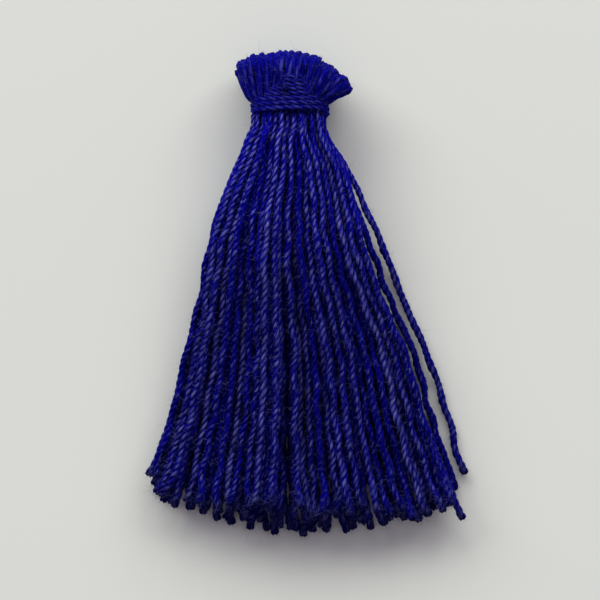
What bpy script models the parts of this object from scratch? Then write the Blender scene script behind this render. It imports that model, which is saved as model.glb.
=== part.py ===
"""A small yarn tassel lying on a flat surface, in metres with +Z up.

One skein of plied yarn is folded at the head, squeezed by a binding and cut open at the hem. The head points
to +Y, the cut ends to -Y, and Z = 0 is the surface it lies on. The origin is on that surface, under the
flat underside of the head. Sizes below are in millimetres, with Y counted from the middle of the neck, and
become metres where vertices are made.
"""
import math
from collections import namedtuple

import bmesh
import bpy
import numpy as np

MM = 0.001

# ---- yarn -----------------------------------------------------------------------------------------------
STRANDS = 108               # 54 loops, each cut into two strands
LOOSE_PITCH = 0.575         # centre to centre of two loose strands lying side by side
PRESSED_PITCH = 0.36        # the same where the binding squeezes them
LOOSE_AFTER = 7.0           # length below the roots over which the yarn springs back
SIDE_CLEARANCE = 0.062      # left between the sides of two touching strands

# ---- skirt: how far below the neck, and where its edges are ---------------------------------------------------
# The second and the lone strand are the outermost ones at the right: each lies apart from the body of the skirt.
SkirtRow = namedtuple("SkirtRow", "down left body second lone")
SKIRT_ROWS = (
    SkirtRow(down=1.3, left=-2.46, body=2.30, second=2.30, lone=2.34),
    SkirtRow(down=2.2, left=-2.76, body=2.48, second=2.48, lone=2.60),
    SkirtRow(down=3.8, left=-3.42, body=3.40, second=3.40, lone=3.76),
    SkirtRow(down=6.0, left=-4.42, body=4.12, second=4.20, lone=4.88),
    SkirtRow(down=8.8, left=-5.24, body=4.78, second=5.32, lone=6.15),
    SkirtRow(down=12.0, left=-5.86, body=5.90, second=6.52, lone=7.36),
    SkirtRow(down=15.6, left=-6.80, body=7.52, second=8.16, lone=8.92),
    SkirtRow(down=19.2, left=-7.66, body=8.54, second=9.15, lone=10.15),
    SkirtRow(down=22.6, left=-8.82, body=9.86, second=10.34, lone=11.00),
    SkirtRow(down=27.2, left=-10.20, body=11.72, second=11.80, lone=12.00),
)
EDGES_THINNER = 0.12        # how much sparser the strands lie towards the edges
ROOT_RADIUS_X = 2.12        # the oval in which the roots sit
ROOT_RADIUS_Z = 1.72
DRIFT_LOWEST = 0.80         # how far a strand strays sideways at the hem (standard deviation)
DRIFT_UPPERMOST = 1.80      # the upper strands lie across the others more freely
WAVE = 0.30                 # and how far it waves on the way
WAVE_COUNTS = (1.3, 2.3)    # waves along a strand
TUFT_WIDTH = 1.90           # the ends gather in tufts about this far apart
TUFT_PULL = 0.45
HEAP = 2.60                 # height of the heap before it sinks, against strands packed tight
SINK = 0.016                # how far it sinks in each round
LAYOUT_SEED = 9
LAYOUT_ROUNDS = 480
SETTLING_SHARE = 0.72       # share of the rounds in which the strands also sink and straighten
CHECKS_PER_ROW = 4          # places between two rows where strands are kept apart

# ---- hem: where a strand that ends at this place across the skirt is cut -------------------------------------
HemPoint = namedtuple("HemPoint", "across down")
HEM = (
    HemPoint(across=-8.9, down=23.3),
    HemPoint(across=-8.5, down=24.0),
    HemPoint(across=-7.8, down=24.8),
    HemPoint(across=-6.4, down=25.5),
    HemPoint(across=-4.4, down=26.1),
    HemPoint(across=-1.5, down=26.75),
    HemPoint(across=2.0, down=27.0),
    HemPoint(across=5.6, down=26.4),
    HemPoint(across=8.6, down=25.7),
    HemPoint(across=9.8, down=25.0),
    HemPoint(across=11.0, down=24.2),
)
UPPER_SHORTER = 0.80        # a strand is this much shorter for each millimetre it lies above the lowest ones
HEM_EDGE = 9.5              # out here the heap is so thin that all are of one length
HEM_RAGGED = 0.20
SHORTEST = 22.9
LONGEST = 27.0
CutEnd = namedtuple("CutEnd", "from_right down")
RIGHT_ENDS = (              # the lone strand, the one beside it and one that sticks out below them
    CutEnd(from_right=1, down=23.1),
    CutEnd(from_right=2, down=24.1),
    CutEnd(from_right=3, down=25.9),
)

# ---- neck, head and binding ---------------------------------------------------------------------------------
NECK_Y = -2.45              # the neck's middle, seen from the origin
NECK_Z = 2.15               # and its height
WAIST_RADIUS_X = 1.68       # the squeezed yarn inside the binding
WAIST_RADIUS_Z = 1.22
ROOTS_RADIUS_X = 2.40       # the ribbed cone below the binding, where the strands leave the neck
ROOTS_RADIUS_Z = 2.02
ROOTS_RIB = 0.06
WAIST_END = 0.20            # the waist and the cone's shoulder, below the binding's lower edge
ROOTS_SHOULDER = 0.56
ROOTS_END = -1.60
GAP = 0.32                  # between the binding and the yarn

LoopTip = namedtuple("LoopTip", "across x y")
LOOP_TIPS = (               # the folded ends of the loops, from the left corner to the right one
    LoopTip(across=-1.00, x=-3.40, y=2.42),
    LoopTip(across=-0.93, x=-3.26, y=2.92),
    LoopTip(across=-0.60, x=-2.30, y=3.28),
    LoopTip(across=-0.20, x=-0.85, y=3.46),
    LoopTip(across=0.15, x=0.45, y=3.46),
    LoopTip(across=0.42, x=1.45, y=3.20),
    LoopTip(across=0.72, x=2.62, y=2.50),
    LoopTip(across=0.92, x=3.42, y=1.90),
    LoopTip(across=1.00, x=3.76, y=1.42),
)
HeadRow = namedtuple("HeadRow", "along beyond spread top bottom rib")
HEAD_ROWS = (               # from the neck to the folded ends: share of the flare, half heights, rib height
    HeadRow(along=0.00, beyond=0.00, spread=0.00, top=1.22, bottom=1.22, rib=0.00),
    HeadRow(along=0.04, beyond=0.00, spread=0.42, top=1.42, bottom=1.80, rib=0.05),
    HeadRow(along=0.25, beyond=0.00, spread=0.60, top=1.62, bottom=2.28, rib=0.08),
    HeadRow(along=0.50, beyond=0.00, spread=0.76, top=1.80, bottom=2.42, rib=0.09),
    HeadRow(along=0.75, beyond=0.00, spread=0.91, top=1.90, bottom=2.46, rib=0.10),
    HeadRow(along=0.93, beyond=0.00, spread=1.00, top=1.78, bottom=2.40, rib=0.12),
    HeadRow(along=1.00, beyond=0.00, spread=0.98, top=1.45, bottom=1.95, rib=0.10),
    HeadRow(along=1.00, beyond=0.06, spread=0.95, top=0.75, bottom=1.10, rib=0.06),
    HeadRow(along=1.00, beyond=0.08, spread=0.94, top=0.00, bottom=0.00, rib=0.00),
)
HEAD_RIBS = 28              # folded yarns round the head
SCALLOP = 0.09              # how far the loops' rounded ends stand out

BINDING_TURNS = 4
BINDING_SIDES = 48
BINDING_RADIUS_X = 2.50     # over the crests of the turns
BINDING_RADIUS_Z = 2.05     # the squeezed neck hangs just clear of the surface
BINDING_GROOVE = 0.13
BINDING_LEFT = (-0.68, 0.80)        # lower and upper edge at the left of the neck
BINDING_RIGHT = (-0.92, 0.16)       # and at the right
BINDING_FRONT_RISE = (0.28, 1.15)   # how much higher both edges run across the front
FRONT_SHARPNESS = 6                 # how narrow that rise is
KNOT_HEIGHT = 0.22                  # the tucked end makes a small lump at the front
KNOT_ANGLE = 95.0
KNOT_WIDTH = 16.0

YARN_BLUE = (0.013, 0.011, 0.190, 1.0)
BINDING_BLUE = (0.010, 0.009, 0.165, 1.0)


# ---- scene ----------------------------------------------------------------------------------------------------
def empty_scene():
    for thing in list(bpy.data.objects):
        bpy.data.objects.remove(thing, do_unlink=True)


def cotton(name, colour):
    material = bpy.data.materials.new(name)
    material.use_nodes = True
    shader = material.node_tree.nodes["Principled BSDF"]
    shader.inputs["Base Color"].default_value = colour
    shader.inputs["Roughness"].default_value = 0.9
    shader.inputs["Metallic"].default_value = 0.0
    material.diffuse_color = colour
    return material


def add_object(name, mesh, collection, material):
    thing = bpy.data.objects.new(name, mesh)
    thing.data.materials.append(material)
    collection.objects.link(thing)
    return thing


def loft(builder, rings, cap_first=True, cap_last=True):
    """Join closed rings of points, in millimetres from the neck's middle, with quads, and close the ends."""
    rows = [[builder.verts.new((x * MM, (y + NECK_Y) * MM, z * MM)) for x, y, z in ring] for ring in rings]
    for lower, upper in zip(rows, rows[1:]):
        count = len(lower)
        for k in range(count):
            after = (k + 1) % count
            builder.faces.new((lower[k], lower[after], upper[after], upper[k]))
    if cap_first:
        builder.faces.new(rows[0][::-1])
    if cap_last:
        builder.faces.new(rows[-1])
    return rows


def finish_mesh(builder, name):
    bmesh.ops.remove_doubles(builder, verts=builder.verts, dist=0.000001)
    bmesh.ops.recalc_face_normals(builder, faces=builder.faces)
    mesh = bpy.data.meshes.new(name)
    builder.to_mesh(mesh)
    builder.free()
    return mesh


# ---- strands --------------------------------------------------------------------------------------------------
def strand_pitch(down):
    """Room that each strand takes at every row: pressed at the neck, loose lower down."""
    loose = np.minimum(1.0, (down - down[0]) / LOOSE_AFTER)
    return PRESSED_PITCH + (LOOSE_PITCH - PRESSED_PITCH) * loose


def root_places():
    """Even places in a round of radius 1, from left to right."""
    number = np.arange(STRANDS)
    radius = np.sqrt((number + 0.5) / STRANDS)
    turn = number * math.pi * (3.0 - math.sqrt(5.0))
    places = np.stack([radius * np.cos(turn), radius * np.sin(turn)], axis=1)
    return places[np.argsort(places[:, 0])]


def spread_at_hem():
    """Where each strand aims between the skirt's edges, from -1 to 1. The last one is the lone strand."""
    body = STRANDS - 1
    even = np.append((np.arange(body) + 0.5) / body * 2.0 - 1.0, 1.0)
    return (1.0 - EDGES_THINNER) * even + EDGES_THINNER * even ** 5


def check_weights(rows):
    """Weights that read CHECKS_PER_ROW places a row off the rows' own places."""
    count = (rows - 1) * CHECKS_PER_ROW + 1
    weights = np.zeros((count, rows))
    for place in range(count):
        row, part = divmod(place, CHECKS_PER_ROW)
        weights[place, row] += 1.0 - part / CHECKS_PER_ROW
        if part:
            weights[place, row + 1] += part / CHECKS_PER_ROW
    return weights


def lay_strands():
    """Lay the strands out as a heap: each keeps its own room at every row. Returns places (strand, row, xz)."""
    random = np.random.default_rng(LAYOUT_SEED)
    down, left, body, second, lone = np.array(SKIRT_ROWS).T
    rows = len(down)
    right = np.tile(body, (STRANDS, 1))
    right[-2:] = second, lone
    pitch = strand_pitch(down)
    half = strand_half(down)
    leftmost = left + pitch / 2.0
    rightmost = right - pitch / 2.0
    along = (down - down[0]) / (down[-1] - down[0])
    roots = root_places()
    aim = spread_at_hem()

    opening = np.clip(along * 2.4, 0.0, 1.0)
    opening = opening * opening * (3.0 - 2.0 * opening)
    across = roots[:, :1] * (1.0 - opening) + aim[:, None] * opening
    straight = (leftmost + rightmost) / 2.0 + across * (rightmost - leftmost) / 2.0
    rank = (roots[:, 1] / np.sqrt(np.maximum(1.0 - roots[:, 0] ** 2, 0.001)) + 1.0) / 2.0
    drift = DRIFT_LOWEST + (DRIFT_UPPERMOST - DRIFT_LOWEST) * rank
    stray = (random.normal(0.0, 1.0, STRANDS) * drift)[:, None] * along ** 1.3
    for waves in WAVE_COUNTS:
        start = random.uniform(0.0, 2.0 * math.pi, STRANDS)[:, None]
        stray = stray + WAVE * np.sin(2.0 * math.pi * waves * along + start) * along ** 0.5
    inner = (1.0 - np.abs(aim) ** 8)[:, None]
    strayed = straight + stray * inner
    gathered = TUFT_PULL * np.sin(2.0 * math.pi * strayed / TUFT_WIDTH) * along ** 3
    target = np.clip(strayed - gathered * inner, leftmost, rightmost)

    height = HEAP * STRANDS * pitch ** 2 * math.sqrt(3.0) / 2.0 / (body - left)
    height[0] = 2.0 * NECK_Z
    dome = np.sqrt(np.maximum(0.05, 1.0 - across ** 2))
    places = np.stack([target, half + rank[:, None] * (height - 2.0 * half) * dome], axis=-1)
    root = np.stack([roots[:, 0] * ROOT_RADIUS_X, NECK_Z + roots[:, 1] * ROOT_RADIUS_Z], axis=-1)

    weights = check_weights(rows)
    shares = weights / (weights ** 2).sum(axis=0)
    room = (weights @ pitch) * 1.01
    own = np.arange(STRANDS)
    for turn in range(LAYOUT_ROUNDS):
        settling = turn < LAYOUT_ROUNDS * SETTLING_SHARE
        if settling:
            places[:, 1:, 1] -= SINK
            places[:, 1:, 0] += 0.05 * (target[:, 1:] - places[:, 1:, 0])
        bend = places.copy()
        bend[..., 0] -= straight
        places[:, 1:-1] += (0.25 if settling else 0.04) * ((bend[:, :-2] + bend[:, 2:]) / 2.0 - bend[:, 1:-1])
        places[:, -1] += 0.15 * (bend[:, -2] - bend[:, -1])
        checks = np.einsum("ak,nkc->nac", weights, places)
        apart = checks[:, None] - checks[None]
        distance = np.sqrt((apart ** 2).sum(axis=-1)) + 1e-9
        lacking = np.maximum(0.0, room - distance) / 2.0
        lacking[own, own] = 0.0
        push = (apart * (lacking / distance)[..., None]).sum(axis=1)
        places += 0.55 * np.einsum("ak,nac->nkc", shares, push)
        places[..., 1] = np.maximum(places[..., 1], half)
        places[..., 0] = np.clip(places[..., 0], leftmost, rightmost)
        places[:, 0] = root
    return places


def strand_half(down):
    """Half the side of a strand's square section."""
    return (strand_pitch(down) / math.sqrt(2.0) - SIDE_CLEARANCE) / 2.0


def strand_ends(places):
    """How far down each strand is cut: the hem's line, ragged, with the upper strands shorter."""
    random = np.random.default_rng(LAYOUT_SEED + 1)
    across, down = np.array(HEM).T
    ends = np.full(STRANDS, LONGEST)
    for _ in range(3):
        part = (ends - SKIRT_ROWS[-2].down) / (SKIRT_ROWS[-1].down - SKIRT_ROWS[-2].down)
        x, z = places[:, -2].T * (1.0 - part) + places[:, -1].T * part
        ends = np.interp(x, across, down)
    inside = 1.0 - np.minimum(1.0, np.abs(x) / HEM_EDGE) ** 2
    ends = ends - UPPER_SHORTER * (z - z.min()) * inside + random.normal(0.0, HEM_RAGGED, STRANDS)
    for cut in RIGHT_ENDS:
        ends[-cut.from_right] = cut.down
    return np.clip(ends, SHORTEST, LONGEST)


def add_strands(builder):
    places = lay_strands()
    ends = strand_ends(places)
    down = np.array(SKIRT_ROWS)[:, 0]
    half = strand_half(down)
    for strand, end in zip(places, ends):
        part = (end - down[-2]) / (down[-1] - down[-2])
        tip = strand[-2] * (1.0 - part) + strand[-1] * part
        middles = np.vstack([strand[:-1], tip])
        rings = []
        for (x, z), y, size in zip(middles, [*-down[:-1], -end], half):
            rings.append([(x - size, y, z - size), (x + size, y, z - size),
                          (x + size, y, z + size), (x - size, y, z + size)])
        loft(builder, rings)


# ---- head and neck --------------------------------------------------------------------------------------------
def front_share(angle):
    return max(0.0, math.sin(angle)) ** FRONT_SHARPNESS


def binding_edge(angle, upper):
    """How far up the neck the lower or upper edge of the binding runs at this angle round it."""
    right_share = (1.0 + math.cos(angle)) / 2.0
    level = BINDING_LEFT[upper] * (1.0 - right_share) + BINDING_RIGHT[upper] * right_share
    return level + BINDING_FRONT_RISE[upper] * front_share(angle)


def neck_ring(sides, radius_x, radius_z, rib=0.0, y=None, below=0.0):
    """An oval ring round the neck, at its own y or this far below the binding's lower edge."""
    ring = []
    for k in range(sides):
        angle = 2.0 * math.pi * k / sides
        crest = rib if k % 2 == 0 else -rib
        level = binding_edge(angle, 0) - below if y is None else y
        ring.append(((radius_x + crest) * math.cos(angle), level, NECK_Z + (radius_z + crest) * math.sin(angle)))
    return ring


def head_ring(row, sides):
    """One ring of the flared head, ribbed by the folded yarns and flat where it lies on the surface."""
    across, tips_x, tips_y = np.array(LOOP_TIPS).T
    ring = []
    for k in range(sides):
        angle = 2.0 * math.pi * k / sides
        crest = 1.0 if k % 2 == 0 else -1.0
        tip_x = np.interp(math.cos(angle), across, tips_x)
        tip_y = np.interp(math.cos(angle), across, tips_y)
        start = binding_edge(angle, 1) + GAP
        end = tip_y + SCALLOP * crest * min(1.0, row.along ** 4)
        half_height = (row.top if math.sin(angle) >= 0.0 else row.bottom) + row.rib * crest
        waist_x = WAIST_RADIUS_X * math.cos(angle)
        x = waist_x + (tip_x - waist_x) * row.spread
        y = start + (end - start) * row.along + row.beyond
        z = NECK_Z + half_height * math.sin(angle)
        ring.append((x, y, max(0.0, z)))
    return ring


def add_head(builder):
    sides = 2 * HEAD_RIBS
    rings = [
        neck_ring(sides, ROOTS_RADIUS_X, ROOTS_RADIUS_Z, ROOTS_RIB, y=ROOTS_END),
        neck_ring(sides, ROOTS_RADIUS_X, ROOTS_RADIUS_Z, ROOTS_RIB, below=ROOTS_SHOULDER),
        neck_ring(sides, WAIST_RADIUS_X, WAIST_RADIUS_Z, below=WAIST_END),
    ]
    rings += [head_ring(row, sides) for row in HEAD_ROWS]
    loft(builder, rings, cap_first=True, cap_last=False)


def yarn_bundle(collection, material):
    """The skein: head, neck and all strands as one solid."""
    head = bmesh.new()
    add_head(head)
    bundle = add_object("yarn_bundle", finish_mesh(head, "yarn_bundle"), collection, material)
    strands = bmesh.new()
    add_strands(strands)
    tools = bpy.data.collections.new("joined_in")
    bpy.context.scene.collection.children.link(tools)
    skirt = add_object("skirt_strands", finish_mesh(strands, "skirt_strands"), tools, material)
    join = bundle.modifiers.new("strands", "BOOLEAN")
    join.operation = "UNION"
    join.solver = "EXACT"
    join.object = skirt
    made = bpy.data.meshes.new_from_object(bundle.evaluated_get(bpy.context.evaluated_depsgraph_get()))
    bundle.modifiers.clear()
    bundle.data = made
    bpy.data.objects.remove(skirt, do_unlink=True)
    bpy.data.collections.remove(tools)
    return bundle


# ---- binding --------------------------------------------------------------------------------------------------
def binding_point(angle, share, reach):
    """A point of the band: share runs from its lower to its upper edge, reach is how far it stands out."""
    low = binding_edge(angle, 0)
    high = binding_edge(angle, 1)
    return (
        (BINDING_RADIUS_X + reach) * math.cos(angle),
        low + (high - low) * share,
        NECK_Z + (BINDING_RADIUS_Z + reach) * math.sin(angle),
    )


def neck_binding(collection, material):
    """The wound thread as one ribbed band, clear of the neck inside it."""
    profile = []
    for turn in range(BINDING_TURNS):
        for place, depth in ((0.0, BINDING_GROOVE), (0.3, 0.0), (0.7, 0.0)):
            profile.append(((turn + place) / BINDING_TURNS, depth))
    profile.append((1.0, BINDING_GROOVE))
    inside = BINDING_RADIUS_X - WAIST_RADIUS_X - GAP
    profile += [(1.0, inside), (0.5, inside), (0.0, inside)]
    rings = []
    for k in range(BINDING_SIDES):
        degrees = 360.0 * k / BINDING_SIDES
        angle = math.radians(degrees)
        lump = KNOT_HEIGHT * math.exp(-((degrees - KNOT_ANGLE) / KNOT_WIDTH) ** 2)
        ring = []
        for share, depth in profile:
            outside = depth < inside
            reach = lump * math.sin(math.pi * share) - depth if outside else -depth
            ring.append(binding_point(angle, share, reach))
        rings.append(ring)
    band = bmesh.new()
    rows = loft(band, rings, cap_first=False, cap_last=False)
    for k in range(len(profile)):
        after = (k + 1) % len(profile)
        band.faces.new((rows[-1][k], rows[-1][after], rows[0][after], rows[0][k]))
    return add_object("neck_binding", finish_mesh(band, "neck_binding"), collection, material)


def main():
    empty_scene()
    tassel = bpy.data.collections.new("yarn_tassel")
    bpy.context.scene.collection.children.link(tassel)
    yarn_bundle(tassel, cotton("yarn", YARN_BLUE))
    neck_binding(tassel, cotton("binding_yarn", BINDING_BLUE))


main()
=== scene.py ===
# %% [markdown]
# # A yarn tassel, dressed over its frame
#
# The frame holds plain solids for the two things that a maker puts together: the skein of yarn and the
# thread wound round its neck. This lesson gives both their real yarn. The skein is 54 loops of plied cotton,
# whole at the head and cut at the hem. Every loop is followed from one cut end, up through the neck, round
# its fold and down to the other cut end. Lengths are in millimetres until a mesh is made.

import math
from collections import namedtuple

import bmesh
import bpy
import numpy as np
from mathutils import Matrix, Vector


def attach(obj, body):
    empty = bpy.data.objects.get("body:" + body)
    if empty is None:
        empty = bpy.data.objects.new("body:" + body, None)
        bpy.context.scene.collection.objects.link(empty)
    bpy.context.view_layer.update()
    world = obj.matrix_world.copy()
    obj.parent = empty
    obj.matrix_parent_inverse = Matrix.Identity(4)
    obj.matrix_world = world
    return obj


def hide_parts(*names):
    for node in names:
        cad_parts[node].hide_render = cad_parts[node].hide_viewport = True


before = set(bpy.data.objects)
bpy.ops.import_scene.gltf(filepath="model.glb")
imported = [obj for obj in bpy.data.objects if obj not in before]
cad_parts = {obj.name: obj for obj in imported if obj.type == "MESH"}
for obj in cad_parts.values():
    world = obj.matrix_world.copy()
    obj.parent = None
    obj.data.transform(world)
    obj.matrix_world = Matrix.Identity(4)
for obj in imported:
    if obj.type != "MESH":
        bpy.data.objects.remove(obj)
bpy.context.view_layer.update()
MM = 0.001
TO_MM = 1000.0
NECK_Y = -2.45              # the neck's middle, seen from the frame's origin; lengths along Y start there
NECK_Z = 2.15               # its height above the floor


def add_to_scene(thing):
    bpy.context.scene.collection.objects.link(thing)
    return thing


print("solids in the frame:", sorted(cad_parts))

# %% [markdown]
# ## Camera, light and floor
#
# A small thing is best looked at from straight above with a long lens, so that the loops at the head and the
# cut ends are seen without distortion. Two broad lamps beyond the head, like two windows, give soft shadows
# that fall towards the hem, and an even surrounding fills them.

# %% Camera straight above
VIEW_MIDDLE = (0.63, -12.10)    # what the camera looks down at
VIEW_WIDTH = 37.8               # how much of the floor fits across the picture
CAMERA_HEIGHT = 190.0
SENSOR = 36.0
CLIP = (0.01, 10.0)             # metres

view_spot = Vector((VIEW_MIDDLE[0] * MM, (VIEW_MIDDLE[1] + NECK_Y) * MM, 0.0))
camera_data = bpy.data.cameras.new("camera")
camera = add_to_scene(bpy.data.objects.new("camera", camera_data))
camera.location = (view_spot.x, view_spot.y, CAMERA_HEIGHT * MM)
camera_data.sensor_width = SENSOR
camera_data.lens = SENSOR * CAMERA_HEIGHT / VIEW_WIDTH
camera_data.clip_start, camera_data.clip_end = CLIP
bpy.context.scene.camera = camera
print("lens:", round(camera_data.lens, 1), "mm")

# %% Two lamps and an even surrounding
Lamp = namedtuple("Lamp", "name place width height power")
LAMPS = (                           # metres and watts: both beyond the head, rather low
    Lamp(name="left_window", place=(-0.60, 0.90, 0.48), width=1.30, height=0.50, power=16.6),
    Lamp(name="right_window", place=(0.48, 0.90, 0.48), width=1.00, height=0.50, power=9.9),
)
LAMP_COLOUR = (0.95, 1.0, 0.88)
SKY_COLOUR = (0.95, 0.89, 1.0, 1.0)
SKY_STRENGTH = 0.304


def add_lamp(lamp):
    """A broad lamp aimed at the middle of the view."""
    light = bpy.data.lights.new(lamp.name, "AREA")
    light.shape = "RECTANGLE"
    light.size = lamp.width
    light.size_y = lamp.height
    light.energy = lamp.power
    light.color = LAMP_COLOUR
    thing = add_to_scene(bpy.data.objects.new(lamp.name, light))
    thing.location = lamp.place
    thing.rotation_euler = (view_spot - Vector(lamp.place)).to_track_quat("-Z", "Y").to_euler()


for lamp in LAMPS:
    add_lamp(lamp)
world = bpy.data.worlds.new("surroundings")
world.use_nodes = True
world.node_tree.nodes["Background"].inputs["Color"].default_value = SKY_COLOUR
world.node_tree.nodes["Background"].inputs["Strength"].default_value = SKY_STRENGTH
bpy.context.scene.world = world
bpy.context.scene.view_settings.view_transform = "Standard"
print("lamps:", [lamp.name for lamp in LAMPS])

# %% The floor
FLOOR_SIDE = 0.9            # metres
FLOOR_COLOUR = (0.742, 0.736, 0.738, 1.0)
FLOOR_ROUGHNESS = 0.85

floor_mesh = bpy.data.meshes.new("floor")
grid = bmesh.new()
bmesh.ops.create_grid(grid, x_segments=1, y_segments=1, size=FLOOR_SIDE / 2)
grid.to_mesh(floor_mesh)
grid.free()
paper = bpy.data.materials.new("pale_surface")
paper.use_nodes = True
paper.node_tree.nodes["Principled BSDF"].inputs["Base Color"].default_value = FLOOR_COLOUR
paper.node_tree.nodes["Principled BSDF"].inputs["Roughness"].default_value = FLOOR_ROUGHNESS
floor_mesh.materials.append(paper)
floor = add_to_scene(bpy.data.objects.new("floor", floor_mesh))
print("floor side:", FLOOR_SIDE, "m")

# %% [markdown]
# ## How the strands lie
#
# A tassel laid down is a heap: the strands leave the round neck side by side, sink to the surface and fan
# out, and each one keeps its own room. Drawing such a heap by hand would leave strands that pass through
# each other. Here every strand starts from an even place in the neck, aims at its place along the hem, and
# is then pushed away from its neighbours again and again while it sinks, which is how a real heap settles.

# %% Edges of the skirt
# In each row: how far it is below the neck's middle, the left edge, the right edge of the skirt's body, and
# the edges of the two outermost strands at the right, which lie apart from it.
SkirtRow = namedtuple("SkirtRow", "down left body second lone")
SKIRT_ROWS = [SkirtRow(*row) for row in (
    (1.3, -2.46, 2.30, 2.30, 2.34),
    (2.2, -2.76, 2.48, 2.48, 2.60),
    (3.8, -3.42, 3.40, 3.40, 3.76),
    (6.0, -4.42, 4.12, 4.20, 4.88),
    (8.8, -5.24, 4.78, 5.32, 6.15),
    (12.0, -5.86, 5.90, 6.52, 7.36),
    (15.6, -6.80, 7.52, 8.16, 8.92),
    (19.2, -7.66, 8.54, 9.15, 10.15),
    (22.6, -8.82, 9.86, 10.34, 11.00),
    (27.2, -10.20, 11.72, 11.80, 12.00),
)]
down, left, body, second, lone = np.array(SKIRT_ROWS).T
along = (down - down[0]) / (down[-1] - down[0])     # share of the way from the roots to the hem
print("skirt:", len(SKIRT_ROWS), "rows,", round(lone[-1] - left[-1], 1), "mm wide at the last one")

# %% Room for each strand
STRANDS = 108               # 54 loops, each cut into two strands
LOOSE_PITCH = 0.575         # centre to centre of two loose strands lying side by side
PRESSED_PITCH = 0.36        # the same where the binding squeezes them
LOOSE_AFTER = 7.0           # length below the roots over which the yarn springs back
SIDE_CLEARANCE = 0.062      # left between the sides of two touching strands

looseness = np.minimum(1.0, (down - down[0]) / LOOSE_AFTER)
pitch = PRESSED_PITCH + (LOOSE_PITCH - PRESSED_PITCH) * looseness
half = (pitch / math.sqrt(2.0) - SIDE_CLEARANCE) / 2.0      # half the side of the frame's square strands
right = np.tile(body, (STRANDS, 1))
right[-2:] = second, lone
leftmost = left + pitch / 2.0
rightmost = right - pitch / 2.0
print("room for a strand:", round(pitch[0], 2), "mm at its root,", round(pitch[-1], 2), "mm at the hem")

# %% Even places in the neck
ROOT_RADIUS_X = 2.12        # the oval in which the roots sit
ROOT_RADIUS_Z = 1.72
STEEPEST = 0.001            # keeps the ranks at the oval's two sides in bounds


def root_places():
    """Even places in a round of radius 1, from left to right."""
    number = np.arange(STRANDS)
    radius = np.sqrt((number + 0.5) / STRANDS)
    turn = number * math.pi * (3.0 - math.sqrt(5.0))
    places = np.stack([radius * np.cos(turn), radius * np.sin(turn)], axis=1)
    return places[np.argsort(places[:, 0])]


roots = root_places()
root_spots = np.stack([roots[:, 0] * ROOT_RADIUS_X, NECK_Z + roots[:, 1] * ROOT_RADIUS_Z], axis=-1)
# a strand's rank is 0 where it is the lowest of those beside it, and 1 where it is the uppermost
rank = (roots[:, 1] / np.sqrt(np.maximum(1.0 - roots[:, 0] ** 2, STEEPEST)) + 1.0) / 2.0
print("roots:", len(roots))

# %% Where each strand would like to lie
EDGES_THINNER = 0.12        # how much sparser the strands lie towards the edges
OPENING_RATE = 2.4          # a strand has come onto its own line after 1 / 2.4 of the way
DRIFT_LOWEST = 0.80         # how far a strand strays sideways at the hem (standard deviation)
DRIFT_UPPERMOST = 1.80      # the upper strands lie across the others more freely
DRIFT_POWER = 1.3           # how late on the way the straying sets in
WAVE = 0.30                 # how far a strand waves on the way
WAVE_COUNTS = (1.3, 2.3)    # waves along a strand
WAVE_POWER = 0.5
TUFT_WIDTH = 1.90           # the ends gather in tufts about this far apart
TUFT_PULL = 0.45
TUFT_POWER = 3
EDGE_POWER = 8              # how suddenly all that stops at the skirt's edges
LAYOUT_SEED = 9


def spread_at_hem():
    """Where each strand aims between the skirt's edges, from -1 to 1. The last one is the lone strand."""
    count = STRANDS - 1
    even = np.append((np.arange(count) + 0.5) / count * 2.0 - 1.0, 1.0)
    return (1.0 - EDGES_THINNER) * even + EDGES_THINNER * even ** 5


random = np.random.default_rng(LAYOUT_SEED)
aim = spread_at_hem()
opening = np.clip(along * OPENING_RATE, 0.0, 1.0)
opening = opening * opening * (3.0 - 2.0 * opening)
across = roots[:, :1] * (1.0 - opening) + aim[:, None] * opening
straight = (leftmost + rightmost) / 2.0 + across * (rightmost - leftmost) / 2.0
drift = DRIFT_LOWEST + (DRIFT_UPPERMOST - DRIFT_LOWEST) * rank
stray = (random.normal(0.0, 1.0, STRANDS) * drift)[:, None] * along ** DRIFT_POWER
for waves in WAVE_COUNTS:
    start = random.uniform(0.0, 2.0 * math.pi, STRANDS)[:, None]
    stray = stray + WAVE * np.sin(2.0 * math.pi * waves * along + start) * along ** WAVE_POWER
inner = (1.0 - np.abs(aim) ** EDGE_POWER)[:, None]
strayed = straight + stray * inner
gathered = TUFT_PULL * np.sin(2.0 * math.pi * strayed / TUFT_WIDTH) * along ** TUFT_POWER
target = np.clip(strayed - gathered * inner, leftmost, rightmost)
print("strands stray by up to", round(float(np.abs(target - straight).max()), 1), "mm")

# %% The heap before it sinks
HEAP = 2.60                 # its height, against strands packed tight
LOWEST_DOME = 0.05
CHECKS_PER_ROW = 4          # places between two rows where strands are kept apart
ROOM_MARGIN = 1.01


def check_weights(rows):
    """Weights that read CHECKS_PER_ROW places a row off the rows' own places."""
    count = (rows - 1) * CHECKS_PER_ROW + 1
    weights = np.zeros((count, rows))
    for place in range(count):
        row, part = divmod(place, CHECKS_PER_ROW)
        weights[place, row] += 1.0 - part / CHECKS_PER_ROW
        if part:
            weights[place, row + 1] += part / CHECKS_PER_ROW
    return weights


height = HEAP * STRANDS * pitch ** 2 * math.sqrt(3.0) / 2.0 / (body - left)
height[0] = 2.0 * NECK_Z
dome = np.sqrt(np.maximum(LOWEST_DOME, 1.0 - across ** 2))
places = np.stack([target, half + rank[:, None] * (height - 2.0 * half) * dome], axis=-1)
weights = check_weights(len(down))
shares = weights / (weights ** 2).sum(axis=0)
room = (weights @ pitch) * ROOM_MARGIN
print("height before it sinks:", round(float(places[:, 1:, 1].max()), 1), "mm")

# %% Push crowding spots apart
TINY = 1e-9                 # keeps spots that coincide in bounds


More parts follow.
